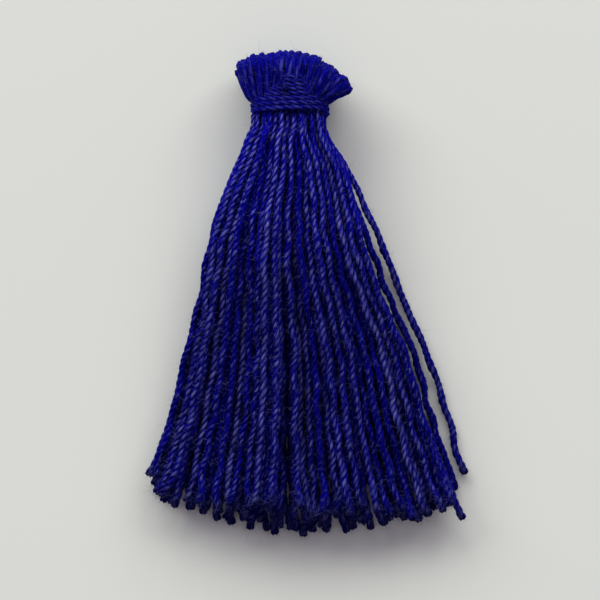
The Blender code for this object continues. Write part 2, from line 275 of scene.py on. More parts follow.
def pushes(spots, room):
    """How far the others push each spot away where they stand closer than the room that it needs."""
    own = np.arange(len(spots))
    apart = spots[:, None] - spots[None]
    distance = np.sqrt((apart ** 2).sum(axis=-1)) + TINY
    lacking = np.maximum(0.0, room - distance) / 2.0
    lacking[own, own] = 0.0
    return (apart * (lacking / distance)[..., None]).sum(axis=1)


print("least room for a strand:", round(float(room.min()), 2), "mm")

# %% Let the heap settle
SINK = 0.016                # how far it sinks in each round
LAYOUT_ROUNDS = 480
SETTLING_SHARE = 0.72       # share of the rounds in which the strands also sink and straighten
TO_TARGET = 0.05            # shares by which each round mends a strand's place across the skirt,
STIFF = 0.25                # a bend while the heap sinks,
LIMP = 0.04                 # a bend afterwards,
STIFF_AT_HEM = 0.15         # a bend at the last row,
PUSH = 0.55                 # and the lack of room between two strands

for turn in range(LAYOUT_ROUNDS):
    settling = turn < LAYOUT_ROUNDS * SETTLING_SHARE
    if settling:
        places[:, 1:, 1] -= SINK
        places[:, 1:, 0] += TO_TARGET * (target[:, 1:] - places[:, 1:, 0])
    bend = places.copy()
    bend[..., 0] -= straight
    places[:, 1:-1] += (STIFF if settling else LIMP) * ((bend[:, :-2] + bend[:, 2:]) / 2.0 - bend[:, 1:-1])
    places[:, -1] += STIFF_AT_HEM * (bend[:, -2] - bend[:, -1])
    push = pushes(np.einsum("ak,nkc->nac", weights, places), room)
    places += PUSH * np.einsum("ak,nac->nkc", shares, push)
    places[..., 1] = np.maximum(places[..., 1], half)
    places[..., 0] = np.clip(places[..., 0], leftmost, rightmost)
    places[:, 0] = root_spots
print("heap at the hem:", round(float(places[:, -1, 1].max()), 2), "mm high,",
      round(float(np.ptp(places[:, -1, 0])), 1), "mm wide")

# %% Line of the hem
HemPoint = namedtuple("HemPoint", "across down")     # from the neck's middle
HEM = [HemPoint(*point) for point in (
    (-8.9, 23.3),
    (-8.5, 24.0),
    (-7.8, 24.8),
    (-6.4, 25.5),
    (-4.4, 26.1),
    (-1.5, 26.75),
    (2.0, 27.0),
    (5.6, 26.4),
    (8.6, 25.7),
    (9.8, 25.0),
    (11.0, 24.2),
)]
CutEnd = namedtuple("CutEnd", "from_right down")
RIGHT_ENDS = (              # the lone strand, the one beside it and one that sticks out below them
    CutEnd(from_right=1, down=23.1),
    CutEnd(from_right=2, down=24.1),
    CutEnd(from_right=3, down=25.9),
)
print("the hem hangs down to", max(point.down for point in HEM), "mm below the neck")

# %% Cut the strands
UPPER_SHORTER = 0.80        # a strand is this much shorter for each millimetre it lies above the lowest ones
HEM_EDGE = 9.5              # out here the heap is so thin that all are of one length
HEM_RAGGED = 0.20
SHORTEST = 22.9
LONGEST = 27.0
HEM_ROUNDS = 3              # the line is read again where the strand really ends


def strand_ends():
    """How far down each strand is cut: the hem's line, ragged, with the upper strands shorter."""
    random = np.random.default_rng(LAYOUT_SEED + 1)
    hem_across, hem_down = np.array(HEM).T
    ends = np.full(STRANDS, LONGEST)
    for _ in range(HEM_ROUNDS):
        part = (ends - down[-2]) / (down[-1] - down[-2])
        x, z = places[:, -2].T * (1.0 - part) + places[:, -1].T * part
        ends = np.interp(x, hem_across, hem_down)
    inside = 1.0 - np.minimum(1.0, np.abs(x) / HEM_EDGE) ** 2
    ends = ends - UPPER_SHORTER * (z - z.min()) * inside + random.normal(0.0, HEM_RAGGED, STRANDS)
    for cut in RIGHT_ENDS:
        ends[-cut.from_right] = cut.down
    return np.clip(ends, SHORTEST, LONGEST)


ends = strand_ends()
print("strands cut", round(float(ends.min()), 1), "to", round(float(ends.max()), 1), "mm below the neck")

# %% [markdown]
# ## The way of one loop
#
# A loop of the skein is one length of yarn: a strand, its pass through the squeezed neck, a leg up the face
# of the head, the fold over its top, and the same way back underneath. The loops lie inside each other like
# the turns of wool on a card, so the outer ones fold highest. Points chosen at the rows are joined by a
# smooth curve, which bends as evenly as a real yarn.

# %% Sizes of the neck
YARN = 0.47                 # a loose yarn's thickness
YARN_IN_NECK = 0.34
LIES_AT = 0.53              # height of a yarn's middle over what carries it, as a share of its thickness
NECK_OVAL = (1.95, 1.50)    # the squeezed yarns' middles inside the binding
NECK_TOP = 0.10
NECK_BOTTOM = -0.30
BULGE = (-0.74, -0.06)      # the bundle is as wide as the binding right below it: level, slope to the right
NECK_FULLER = 0.12          # share by which the yarns swell sideways below the binding
NECK_FULLER_TO = 3.0        # and the length over which that is lost again
print("the neck squeezes a yarn to", round(100 * YARN_IN_NECK / YARN), "% of its thickness")

# %% Sizes of the head
YARN_IN_HEAD = 0.57
YARN_IN_FOLD = 0.66         # it springs back where it turns
HEAD_DROOP = 0.50           # how much lower the head's sides lie than its middle
HEAD_START = 0.25           # the legs begin to spread this far above the neck's top
LoopTip = namedtuple("LoopTip", "across x y")
# The folded ends of the loops from the left corner to the right one: a leg's place across the head, from
# -1 to 1, and where such a loop ends.
LOOP_TIPS = [LoopTip(*tip) for tip in (
    (-1.00, -3.40, 2.42),
    (-0.91, -3.26, 2.92),
    (-0.64, -2.30, 3.28),
    (-0.26, -0.85, 3.46),
    (0.06, 0.45, 3.46),
    (0.31, 1.45, 3.20),
    (0.62, 2.62, 2.50),
    (0.86, 3.42, 1.90),
    (1.00, 3.76, 1.42),
)]
LegRow = namedtuple("LegRow", "along spread top bottom")
LEG_ROWS = (                # up the head: share of the way to the fold, of the flare, and half heights
    LegRow(along=0.10, spread=0.40, top=1.42, bottom=1.48),
    LegRow(along=0.36, spread=0.62, top=1.56, bottom=1.74),
    LegRow(along=0.68, spread=0.85, top=1.66, bottom=1.84),
    LegRow(along=1.00, spread=1.00, top=1.64, bottom=1.84),
)
FOLD_REACH = 0.95           # how far the outermost folds stand beyond the ends of their legs
SHORTEST_FOLD = 0.24
NESTED = 0.30               # 1: inner loops fold well below the outer ones, 0: all fold at one level
FOLD_STEPS = 7
print("the head is", round(LOOP_TIPS[-1].x - LOOP_TIPS[0].x, 1), "mm wide")

# %% Pair the strands and spread the legs over the head
HEAD_ROOM = 0.46            # room that each leg takes in the head
HEAD_OVAL = (3.25, 1.72)
HEAD_ROUNDS = 80
FAR_APART = 0.3


def pair_front_with_back(points):
    """Pairs of a front strand and a back strand, both counted from the left."""
    order = np.argsort(points[:, 1])
    back, front = order[:len(order) // 2], order[len(order) // 2:]
    return list(zip(front[np.argsort(points[front, 0])], back[np.argsort(points[back, 0])]))


def push_apart(points, room, rounds, oval):
    """Spread points that crowd in a round of radius 1, which stands for an oval."""
    spot = points * oval
    for _ in range(rounds):
        spot = spot + 0.5 * pushes(spot, room)
        reach = np.sqrt(((spot / oval) ** 2).sum(axis=1))
        spot = spot / np.maximum(1.0, reach)[:, None]
    return spot / oval


in_head = push_apart(roots, HEAD_ROOM, HEAD_ROUNDS, np.array(HEAD_OVAL))
loops = pair_front_with_back(roots)
print("loops:", len(loops), "of them with legs far apart sideways:",
      sum(abs(roots[a][0] - roots[b][0]) > FAR_APART for a, b in loops))


# %% From a cut end up to the neck
def strand_points(index):
    """Points of one strand, with the yarn's thickness at each."""
    thickness = YARN_IN_NECK + (YARN - YARN_IN_NECK) * (pitch - PRESSED_PITCH) / (LOOSE_PITCH - PRESSED_PITCH)
    lift = thickness * LIES_AT - half
    part = (ends[index] - down[-2]) / (down[-1] - down[-2])
    spread = 1.0 + NECK_FULLER * np.exp(-down / NECK_FULLER_TO)
    spots = places[index] * np.stack([spread, np.ones_like(down)], axis=-1)
    spots = spots + np.stack([np.zeros_like(lift), lift], axis=-1)
    spots[-1] = spots[-2] * (1.0 - part) + spots[-1] * part
    levels = np.append(-down[:-1], -ends[index])
    points = np.column_stack([spots[:, 0], levels, spots[:, 1], thickness])
    bulge = points[:1].copy()
    bulge[0, 1] = BULGE[0] + BULGE[1] * bulge[0, 0]
    return np.vstack([bulge, points])[::-1]


print("points along a strand:", len(strand_points(0)))


# %% Up the head and round the fold
def leg_points(index, lower):
    """From the neck up the head to where the fold begins. Some legs end a little lower."""
    across, tips_x, tips_y = np.array(LOOP_TIPS).T
    side, depth = in_head[index]
    neck_side, neck_depth = roots[index]
    neck_x = NECK_OVAL[0] * neck_side
    neck_z = NECK_Z + NECK_OVAL[1] * neck_depth
    points = [(neck_x, NECK_BOTTOM, neck_z, YARN_IN_NECK), (neck_x, NECK_TOP, neck_z, YARN_IN_NECK)]
    tip_x = np.interp(side, across, tips_x) - np.sign(side) * YARN_IN_HEAD * 0.5 * abs(side)
    round_edge = math.sqrt(max(0.0, 1.0 - side ** 2))
    reach = FOLD_REACH * (NESTED * round_edge + (1.0 - NESTED) * abs(depth))
    fold_start = np.interp(side, across, tips_y) - YARN_IN_HEAD * 0.5 - reach - lower
    for row in LEG_ROWS:
        x = neck_x + (tip_x - neck_x) * row.spread
        y = NECK_TOP + HEAD_START + (fold_start - NECK_TOP - HEAD_START) * row.along
        half_height = row.top if depth > 0.0 else row.bottom
        z = NECK_Z + half_height * depth - HEAD_DROOP * row.along * side ** 2
        points.append((x, y, z, YARN_IN_HEAD))
    return np.array(points)


def fold_points(leg_a, leg_b):
    """From the end of one leg to the end of the other: half an oval that points away from the neck."""
    start, end = leg_a[-1, :3], leg_b[-1, :3]
    middle = (start + end) / 2.0
    away = (leg_a[-1, :3] - leg_a[-2, :3]) + (leg_b[-1, :3] - leg_b[-2, :3])
    away[2] = 0.0
    away = away / np.linalg.norm(away)
    reach = max(FOLD_REACH * np.linalg.norm(end - start) / (2.0 * LEG_ROWS[-1].top), SHORTEST_FOLD)
    points = []
    for step in range(1, FOLD_STEPS):
        turn = math.pi * step / FOLD_STEPS
        spot = middle - (end - start) / 2.0 * math.cos(turn) + away * reach * math.sin(turn)
        points.append([*spot, YARN_IN_FOLD])
    return np.array(points)


print("points along a leg:", len(leg_points(0, 0.0)), "and along a fold:", FOLD_STEPS - 1)

# %% A smooth curve through points
PATH_STEP = 0.12


def smooth_line(points, step):
    """A Catmull-Rom curve through the points, read at even steps."""
    before = 2.0 * points[0] - points[1]
    after = 2.0 * points[-1] - points[-2]
    knots = np.vstack([before, points, after])
    dense = []
    for k in range(1, len(knots) - 2):
        p0, p1, p2, p3 = knots[k - 1:k + 3]
        length = np.linalg.norm(p2[:3] - p1[:3])
        # tangents scaled by the spans on both sides, so that uneven rows don't overshoot
        into = (p2 - p0) * length / (np.linalg.norm(p2[:3] - p0[:3]) + TINY)
        out = (p3 - p1) * length / (np.linalg.norm(p3[:3] - p1[:3]) + TINY)
        for t in np.linspace(0.0, 1.0, max(3, int(length / step * 2)), endpoint=False):
            dense.append((2 * t**3 - 3 * t**2 + 1) * p1 + (t**3 - 2 * t**2 + t) * into
                         + (3 * t**2 - 2 * t**3) * p2 + (t**3 - t**2) * out)
    dense = np.array([*dense, points[-1]])
    steps = np.linalg.norm(np.diff(dense[:, :3], axis=0), axis=1)
    reach = np.concatenate([[0.0], np.cumsum(steps)])
    spots = np.linspace(0.0, reach[-1], int(reach[-1] / step) + 1)
    return np.column_stack([np.interp(spots, reach, dense[:, k]) for k in range(dense.shape[1])])


print("a curve is read every", PATH_STEP, "mm")

# %% [markdown]
# ## No yarn is quite even
#
# A limp yarn wavers from its way, rises from the heap and sinks into it, turns aside at its cut end and is
# thicker in some places than in others. Its twist is tighter and looser by turns, and nearly gone where the
# yarn is stretched over the head. Sums of two waves give all that, with the same chance numbers in each run.

# %% Sizes of the unevenness
WIGGLE = 0.085              # how far a limp yarn wavers from its way
WIGGLE_LENGTH = 2.6
SWELL = 0.17                # how far it rises from and sinks into the heap
SWELL_LENGTH = 9.0
IN_SKIRT = (2.0, 8.0)       # it wavers fully from the lower of these levels below the neck,
IN_NECK = 0.40              # and by this share above the upper one
KINK = 0.26                 # how far the last bit before a cut end turns aside
KINK_LENGTH = 1.9
UNEVEN = 0.10               # share by which a spun yarn's thickness varies
TWIST_LENGTH = 1.45         # the plies go once round each other in this length
TWIST_IN_HEAD = 6.0         # and where the yarn is stretched over the head
TWIST_HEAD_FROM = -0.5
TWIST_UNEVEN = 0.22
TWIST_UNEVEN_LENGTH = 3.0
REST_AT = 0.59              # lowest height of a yarn's middle over the floor, as a share of its thickness
REST_AT_END = 0.14          # and how much more at its cut end, where it is splayed
SPLAYED = 1.2
LOWER_FOLD = 0.10           # some loops fold up to this much lower
PATH_SEED = 21
path_random = np.random.default_rng(PATH_SEED)


def waver(reach, length, random):
    """Two waves of random length and start, between about -1 and 1."""
    lengths = length * random.uniform(0.75, 1.4, 2)
    starts = random.uniform(0.0, 2.0 * math.pi, 2)
    return sum(np.sin(2.0 * math.pi * reach / size + start) for size, start in zip(lengths, starts)) / 2.0


def with_turns(line, twist_length):
    """Add a column that counts the yarn's turns from its start."""
    return np.column_stack([line, np.cumsum(PATH_STEP / (twist_length * np.ones(len(line))))])


print("twist: one turn in", TWIST_LENGTH, "mm")


# %% Follow every loop
def make_uneven(line, random):
    """Give a smooth line its wavering, its bent ends, its uneven thickness and its twist."""
    reach = np.arange(len(line)) * PATH_STEP
    in_skirt = np.clip((-line[:, 1] - IN_SKIRT[0]) / (IN_SKIRT[1] - IN_SKIRT[0]), IN_NECK, 1.0)
    for axis in (0, 2):
        line[:, axis] += WIGGLE * in_skirt * waver(reach, WIGGLE_LENGTH, random)
        for to_end in (reach, reach[::-1]):
            aside = np.clip(1.0 - to_end / KINK_LENGTH, 0.0, 1.0) ** 2
            line[:, axis] += random.normal(0.0, KINK) * aside
    line[:, 2] += SWELL * in_skirt * waver(reach, SWELL_LENGTH, random)
    line[:, 3] *= 1.0 + UNEVEN * waver(reach, WIGGLE_LENGTH, random)
    near_end = np.clip(1.0 - np.minimum(reach, reach[::-1]) / SPLAYED, 0.0, 1.0)
    line[:, 2] = np.maximum(line[:, 2], line[:, 3] * (REST_AT + REST_AT_END * near_end))
    twist = np.where(line[:, 1] > TWIST_HEAD_FROM, TWIST_IN_HEAD, TWIST_LENGTH)
    return with_turns(line, twist * (1.0 + TWIST_UNEVEN * waver(reach, TWIST_UNEVEN_LENGTH, random)))


loop_lines = []
for strand_a, strand_b in loops:
    lower = path_random.uniform(0.0, LOWER_FOLD)
    leg_a, leg_b = leg_points(strand_a, lower), leg_points(strand_b, lower)
    points = np.vstack([strand_points(strand_a), leg_a, fold_points(leg_a, leg_b), leg_b[::-1],
                        strand_points(strand_b)[::-1]])
    loop_lines.append(make_uneven(smooth_line(points, PATH_STEP), path_random))
lengths = [len(line) * PATH_STEP for line in loop_lines]
print("loops followed:", len(lengths), "longest:", round(max(lengths), 1), "mm, yarn in all:",
      round(sum(lengths) * MM, 2), "m")

# %% [markdown]
# ## Node trees written as Python
#
# Both the yarn and its finish are node trees. One small class wraps an output so that sums can be written as
# Python expressions, and one method adds every other kind of node.


# %% Sums on wires
class Wire:
    """An output of a node. Sums on wires add Math nodes."""

    def __init__(self, maker, socket):
        self.maker = maker
        self.socket = socket

    def other(self, name):
        """Another output of the same node."""
        return Wire(self.maker, self.socket.node.outputs[name])

    def _math(self, operation, first, second=0.0):
        return self.maker.node("ShaderNodeMath", {0: first, 1: second}, operation=operation)

    def __add__(self, value):
        return self._math("ADD", self, value)

    def __radd__(self, value):
        return self._math("ADD", value, self)

    def __sub__(self, value):
        return self._math("SUBTRACT", self, value)

    def __rsub__(self, value):
        return self._math("SUBTRACT", value, self)

    def __mul__(self, value):
        return self._math("MULTIPLY", self, value)

    def __rmul__(self, value):
        return self._math("MULTIPLY", value, self)

    def __truediv__(self, value):
        return self._math("DIVIDE", self, value)

    def __pow__(self, value):
        return self._math("POWER", self, value)

    def sine(self):
        return self._math("SINE", self)

    def cosine(self):
        return self._math("COSINE", self)

    def at_most(self, value):
        return self._math("MINIMUM", self, value)

    def at_least(self, value):
        return self._math("MAXIMUM", self, value)

    def share(self, start, end):
        """0 up to the start, 1 from the end on, and even in between."""
        return ((self - start) / (end - start)).at_least(0.0).at_most(1.0)


print("sums ready")


# %% Nodes of any kind
class NodeMaker:
    """Adds nodes to one tree."""

    def __init__(self, tree):
        self.tree = tree

    def node(self, kind, sockets=None, output=0, **settings):
        """Add a node: its settings first, then the values or wires of its sockets. Returns one output."""
        made = self.tree.nodes.new(kind)
        for name, value in settings.items():
            setattr(made, name, value)
        for key, value in (sockets or {}).items():
            if isinstance(value, Wire):
                self.tree.links.new(value.socket, made.inputs[key])
            else:
                made.inputs[key].default_value = value
        return Wire(self, made.outputs[output])


print("node maker ready")


# %% Start, end and run a geometry tree
def start_geometry_tree(name, inputs):
    """A modifier tree with named inputs. Returns its maker, the wires of its inputs and their identifiers."""
    tree = bpy.data.node_groups.new(name, "GeometryNodeTree")
    tree.is_modifier = True
    tree.interface.new_socket("Geometry", in_out="INPUT", socket_type="NodeSocketGeometry")
    identifiers = {}
    for label, kind in inputs.items():
        made = tree.interface.new_socket(label, in_out="INPUT", socket_type="NodeSocket" + kind)
        identifiers[label] = made.identifier
    tree.interface.new_socket("Geometry", in_out="OUTPUT", socket_type="NodeSocketGeometry")
    maker = NodeMaker(tree)
    entry = tree.nodes.new("NodeGroupInput")
    wires = {label: Wire(maker, entry.outputs[label]) for label in ["Geometry", *inputs]}
    return maker, wires, identifiers


def end_geometry_tree(maker, geometry):
    leave = maker.tree.nodes.new("NodeGroupOutput")
    maker.tree.links.new(geometry.socket, leave.inputs[0])
    print("tree:", maker.tree.name, "with", len(maker.tree.nodes), "nodes")


def run_tree(thing, tree, identifiers, values):
    """Run a tree on an object, and keep the result as its plain mesh."""
    modifier = thing.modifiers.new(tree.name, "NODES")
    modifier.node_group = tree
    for label, value in values.items():
        modifier[identifiers[label]] = value
    depsgraph = bpy.context.evaluated_depsgraph_get()
    made = bpy.data.meshes.new_from_object(thing.evaluated_get(depsgraph))
    made.name = thing.name
    thing.modifiers.clear()
    thing.data = made


def triangles(thing):
    return sum(len(face.vertices) - 2 for face in thing.data.polygons)


print("tree helpers ready")

# %% [markdown]
# ## The yarn's finish
#
# Cotton yarn is matt. Fine fibres run along each ply at a slant. The grooves between the plies are deep, and
# painted shade darkens them, the yarn's lower flanks and its cut ends. A painted highlight makes the top of
# each ply paler than its flanks, and painted light makes the yarn brighter below the neck. All that follows
# attributes that the yarn's tree leaves on the mesh, so the finish stays on the yarn from any side: how far
# along the yarn a point is and how far round its ply, how far it is from the yarn's middle and above it, and
# how far from the nearer cut end.

# %% Colours, and where they change
YARN_COLOUR = (0.0016, 0.0014, 0.1840)
BINDING_COLOUR = (0.0022, 0.0020, 0.1700)
YARN_DEEP = (0.0002, 0.0002, 0.1340)
# pale fibres, and also the colour of the painted highlights
YARN_PALE_AND_HIGHLIGHT = (0.2300, 0.2300, 0.5000)
# painted shade, for the grooves, the lower flanks and the cut ends
YARN_PAINTED_SHADE = (0.0001, 0.0001, 0.0300)
SHEEN_TINT = (0.30, 0.32, 1.0, 1.0)
CUT_END_SHADE = 1.1         # the length over which painted shade darkens the yarn towards its cut end
CUT_END_DARK = 0.9
STREAKS = 1.2               # how much the streaks of fibres show,
CLUMPS = 1.0                # the longer clumps of fibres,
YARN_TO_YARN = 0.30         # and the difference from one yarn to the next
GROOVE_AT = 0.32            # shares of the yarn's thickness from its middle: the groove between two plies,
CREST_AT = 0.49             # and a ply's crest
# painted shade in the grooves between the plies
GROOVE_SHADE = 0.28
FLANK_AT = -0.02            # the same, upwards from its middle: its flanks, which get painted shade, and where that painted shade ends
TOP_AT = 0.36
FLANK_SHADE = 0.20
BEAD_FROM = 0.31            # and a painted highlight: the pale top of each ply where it crosses the yarn's upper side
BEAD_TO = 0.50
BEAD_PALE = 0.28
FLECKS_FROM = 0.58          # lighter spots than this are pale on the crests as well: pale fibres, kept to the yarn's upper side as a painted highlight
FLECKS_PALE = 0.8
HEAD_LESS_PALE = 0.65
BRIGHTER = 1.00             # share by which painted light makes the yarn brighter below the neck
BRIGHTER_FROM = (-13.5, -4.5)   # from this level up to that one, in the frame
# painted light over the head, a little weaker
HEAD_BRIGHTER = 0.22
HEAD_FROM = (-3.8, -2.4)
print("yarn colour:", YARN_COLOUR)


# %% Fibres along the plies
def attribute(maker, name):
    return maker.node("ShaderNodeAttribute", output="Fac", attribute_name=name)


def noise(maker, x, y, z, **inputs):
    vector = maker.node("ShaderNodeCombineXYZ", {"X": x, "Y": y, "Z": z})
    return maker.node("ShaderNodeTexNoise", {"Vector": vector, **inputs}, output="Fac")


def mix_colour(maker, factor, first, second):
    mixed = maker.tree.nodes.new("ShaderNodeMix")
    mixed.data_type = "RGBA"
    for socket, value in ((mixed.inputs[0], factor), (mixed.inputs[6], first), (mixed.inputs[7], second)):
        if isinstance(value, Wire):
            maker.tree.links.new(value.socket, socket)
        else:
            socket.default_value = (*value, 1.0)
    return Wire(maker, mixed.outputs[2])


def fibre_pattern(maker):
    """Streaks of fibres, and how light each spot is: 0.5 on average, and different from yarn to yarn."""
    along = attribute(maker, "along") * TO_MM
    around = attribute(maker, "around")
    yarn = attribute(maker, "tone")
    ply = attribute(maker, "ply")
    streaks = noise(maker, around * 5.0 + along * 1.1, along * 0.45, yarn * 37.0,
                    Scale=3.0, Detail=4.0, Roughness=0.6)
    clumps = noise(maker, around * 3.0, along * 2.8, yarn * 91.0 + ply * 7.0, Scale=1.0, Detail=2.0)
    lightness = (streaks - 0.5) * STREAKS + (clumps - 0.5) * CLUMPS + (yarn - 0.5) * YARN_TO_YARN + 0.5
    return streaks, lightness


print("fibre pattern ready")


# %% Plied cotton
def start_material(name):
    """A new material, the maker of its nodes and its shader."""
    material = bpy.data.materials.new(name)
    material.use_nodes = True
    return material, NodeMaker(material.node_tree), material.node_tree.nodes["Principled BSDF"]


def yarn_material(name, tone):
    """Plied cotton: painted shade in the grooves, on the flanks and at the cut ends, painted highlights on
    the plies' tops, painted light below the neck, streaks of fibres and a matt surface.
    """
    material, maker, shader = start_material(name)
    streaks, lightness = fibre_pattern(maker)
    base = mix_colour(maker, lightness.at_least(0.0).at_most(1.0), YARN_DEEP, tone)
    # painted shade: the yarn darkens towards its cut ends
    cut_end_shade = 1.0 - (attribute(maker, "to_end") * TO_MM / CUT_END_SHADE).at_most(1.0)
    top = attribute(maker, "top")
    flank = 1.0 - top.share(FLANK_AT, TOP_AT)
    crest = attribute(maker, "outer").share(GROOVE_AT, CREST_AT)
    place = maker.node("ShaderNodeSeparateXYZ", {"Vector": maker.node("ShaderNodeTexCoord", output="Object")})
    level = place.other("Y") * TO_MM
    in_head = level.share(*HEAD_FROM)

    # painted highlight on the top of each ply, and pale fibres on the crests that show only on the upper side
    painted_highlight = top.share(BEAD_FROM, BEAD_TO) * (lightness * 0.5 + 0.5).at_least(0.0) * BEAD_PALE
    flecks_and_highlight = (lightness - FLECKS_FROM) * FLECKS_PALE * crest * (1.0 - flank)
    pale = ((flecks_and_highlight + painted_highlight) * (1.0 - in_head * HEAD_LESS_PALE)).at_least(0.0).at_most(1.0)
    # painted shade in the grooves between the plies and on the yarn's lower flanks
    shade = 1.0 - (1.0 - (1.0 - crest) * GROOVE_SHADE) * (1.0 - flank * FLANK_SHADE)
    groove_and_flank_shade = mix_colour(maker, shade, base, YARN_PAINTED_SHADE)
    dye_with_painted_light = mix_colour(maker, cut_end_shade * CUT_END_DARK, mix_colour(maker, pale, groove_and_flank_shade, YARN_PALE_AND_HIGHLIGHT), YARN_PAINTED_SHADE)
    # painted light: brighter below the neck, and a little brighter over the head
    brighter = level.share(*BRIGHTER_FROM) * BRIGHTER + in_head * (HEAD_BRIGHTER - BRIGHTER) + 1.0
    colour = maker.node("ShaderNodeVectorMath", {0: dye_with_painted_light, "Scale": brighter}, operation="SCALE")
    bump = maker.node("ShaderNodeBump", {"Height": streaks, "Strength": 0.40, "Distance": 0.00004})
    maker.tree.links.new(colour.socket, shader.inputs["Base Color"])
    maker.tree.links.new(bump.socket, shader.inputs["Normal"])
    shader.inputs["Roughness"].default_value = 0.80
    shader.inputs["Specular IOR Level"].default_value = 0.02
    shader.inputs["Sheen Weight"].default_value = 0.05
    shader.inputs["Sheen Roughness"].default_value = 0.35
    shader.inputs["Sheen Tint"].default_value = SHEEN_TINT
    return material


skein_cotton = yarn_material("skein_cotton", YARN_COLOUR)
binding_cotton = yarn_material("binding_cotton", BINDING_COLOUR)
print("materials:", skein_cotton.name, binding_cotton.name)


# %% Single fibres
def fuzz_material(name, tone):
    """Single fibres standing off the yarn, some of them paler."""
    material, maker, shader = start_material(name)
    colour = mix_colour(maker, attribute(maker, "fibre_tone"), tone, YARN_PALE_AND_HIGHLIGHT)
    maker.tree.links.new(colour.socket, shader.inputs["Base Color"])
    shader.inputs["Roughness"].default_value = 0.6
    return material


fibre_cotton = fuzz_material("fibre_cotton", YARN_COLOUR)
print("material:", fibre_cotton.name)

# %% [markdown]
# ## Plied yarn from a line
#
# The yarn is three plies twisted to the right. A tree makes it from a line: three copies of the line are
# moved off it sideways by an angle that grows with the length, and each copy becomes a thin tube. The profile
# is an open round, so that the unwrapped strip of each ply has a clean edge, and the doubled points are
# merged afterwards. A tube's last ring shrinks to a point, which closes the ply as a rounded tip. The tree
# also stores how far each point lies from the yarn's middle and above it, for the finish.


# %% Short names for nodes
def named(maker, name, data_type="FLOAT"):
    return maker.node("GeometryNodeInputNamedAttribute", {"Name": name}, data_type=data_type)


def store(maker, geometry, name, value, domain="POINT", data_type="FLOAT"):
    return maker.node("GeometryNodeStoreNamedAttribute", {"Geometry": geometry, "Name": name, "Value": value},
                      data_type=data_type, domain=domain)


def vector(maker, operation, first, second):
    return maker.node("ShaderNodeVectorMath", {0: first, 1: second}, operation=operation)


def scaled(maker, value, factor):
    return maker.node("ShaderNodeVectorMath", {0: value, "Scale": factor}, operation="SCALE")


print("short names ready")

# %% Three copies of the line
yarn_maker, wires, yarn_inputs = start_geometry_tree("plied_yarn", {
    "Step": "Float", "Ply offset": "Float", "Ply radius": "Float", "Plies": "Int", "Sides": "Int",
    "Yarns": "Int", "Material": "Material"})
m = yarn_maker
line = m.node("GeometryNodeMeshToCurve", {"Mesh": wires["Geometry"]})
line = m.node("GeometryNodeResampleCurve", {"Curve": line, "Length": wires["Step"]}, mode="LENGTH")
line = m.node("GeometryNodeSetCurveNormal", {"Curve": line}, mode="MINIMUM_TWIST")
line = store(m, line, "along", m.node("GeometryNodeSplineParameter", output="Length"))
total = m.node("GeometryNodeSplineLength", output="Length")
line = store(m, line, "to_end", named(m, "along").at_most(total - named(m, "along")))
copies = m.node("GeometryNodeDuplicateElements", {"Geometry": line, "Amount": wires["Plies"]},
                domain="SPLINE")
plies = store(m, copies, "ply", copies.other("Duplicate Index"))
print("nodes so far:", len(m.tree.nodes))

# %% Twist the plies
SPLAY_LENGTH = 0.0009       # metres: the plies come apart over this length before a cut end,
SPLAY = 0.30                # and stand off and swell by this share

turn = (named(m, "turns") + named(m, "ply") / wires["Plies"] + named(m, "tone")) * math.tau
normal = m.node("GeometryNodeInputNormal", output="Normal")
sideways = vector(m, "CROSS_PRODUCT", m.node("GeometryNodeInputTangent"), normal)
loosening = (1.0 - named(m, "to_end") / SPLAY_LENGTH).at_least(0.0)
distance = named(m, "thickness") * wires["Ply offset"] * (1.0 + loosening * SPLAY)
offset = vector(m, "ADD", scaled(m, normal, turn.cosine() * distance),
                scaled(m, sideways, turn.sine() * distance))
plies = store(m, plies, "middle", m.node("GeometryNodeInputPosition"), data_type="FLOAT_VECTOR")
plies = m.node("GeometryNodeSetPosition", {"Geometry": plies, "Offset": offset})
print("nodes so far:", len(m.tree.nodes))

# %% Turn each ply into a tube
LUMPS = 0.5                 # how lumpy a spun ply is
LUMPS_PER_M = 900.0
ROUND_TIP = 0.3             # a tip's length, as a share of the yarn's thickness

lumps_at = m.node("ShaderNodeCombineXYZ", {
    "X": named(m, "along") * LUMPS_PER_M, "Y": named(m, "ply") * 5.0, "Z": named(m, "tone") * 61.0})
lumps = m.node("ShaderNodeTexNoise", {"Vector": lumps_at, "Scale": 1.0, "Detail": 1.0}, output="Fac") - 0.5
tip = (named(m, "to_end") / (named(m, "thickness") * ROUND_TIP)).at_most(1.0)
rounding = (1.0 - (1.0 - tip) ** 2.0) ** 0.5
swelling = 1.0 + lumps * LUMPS + loosening * SPLAY
ply_radius = named(m, "thickness") * wires["Ply radius"] * rounding * swelling
profile = m.node("GeometryNodeCurveArc", {
    "Resolution": wires["Sides"] + 1.0, "Radius": 1.0, "Start Angle": 0.0, "Sweep Angle": math.tau})
profile = store(m, profile, "around", m.node("GeometryNodeSplineParameter", output="Factor"))
tubes = m.node("GeometryNodeCurveToMesh", {
    "Curve": plies, "Profile Curve": profile, "Scale": ply_radius, "Fill Caps": False})
print("nodes so far:", len(m.tree.nodes))

# %% Leave the finish its attributes and its map
MERGE = 0.0000005           # metres
STRIP_EDGE = 0.06           # free at both sides of a ply's strip in the map
END_EDGE = 0.01             # and at its ends

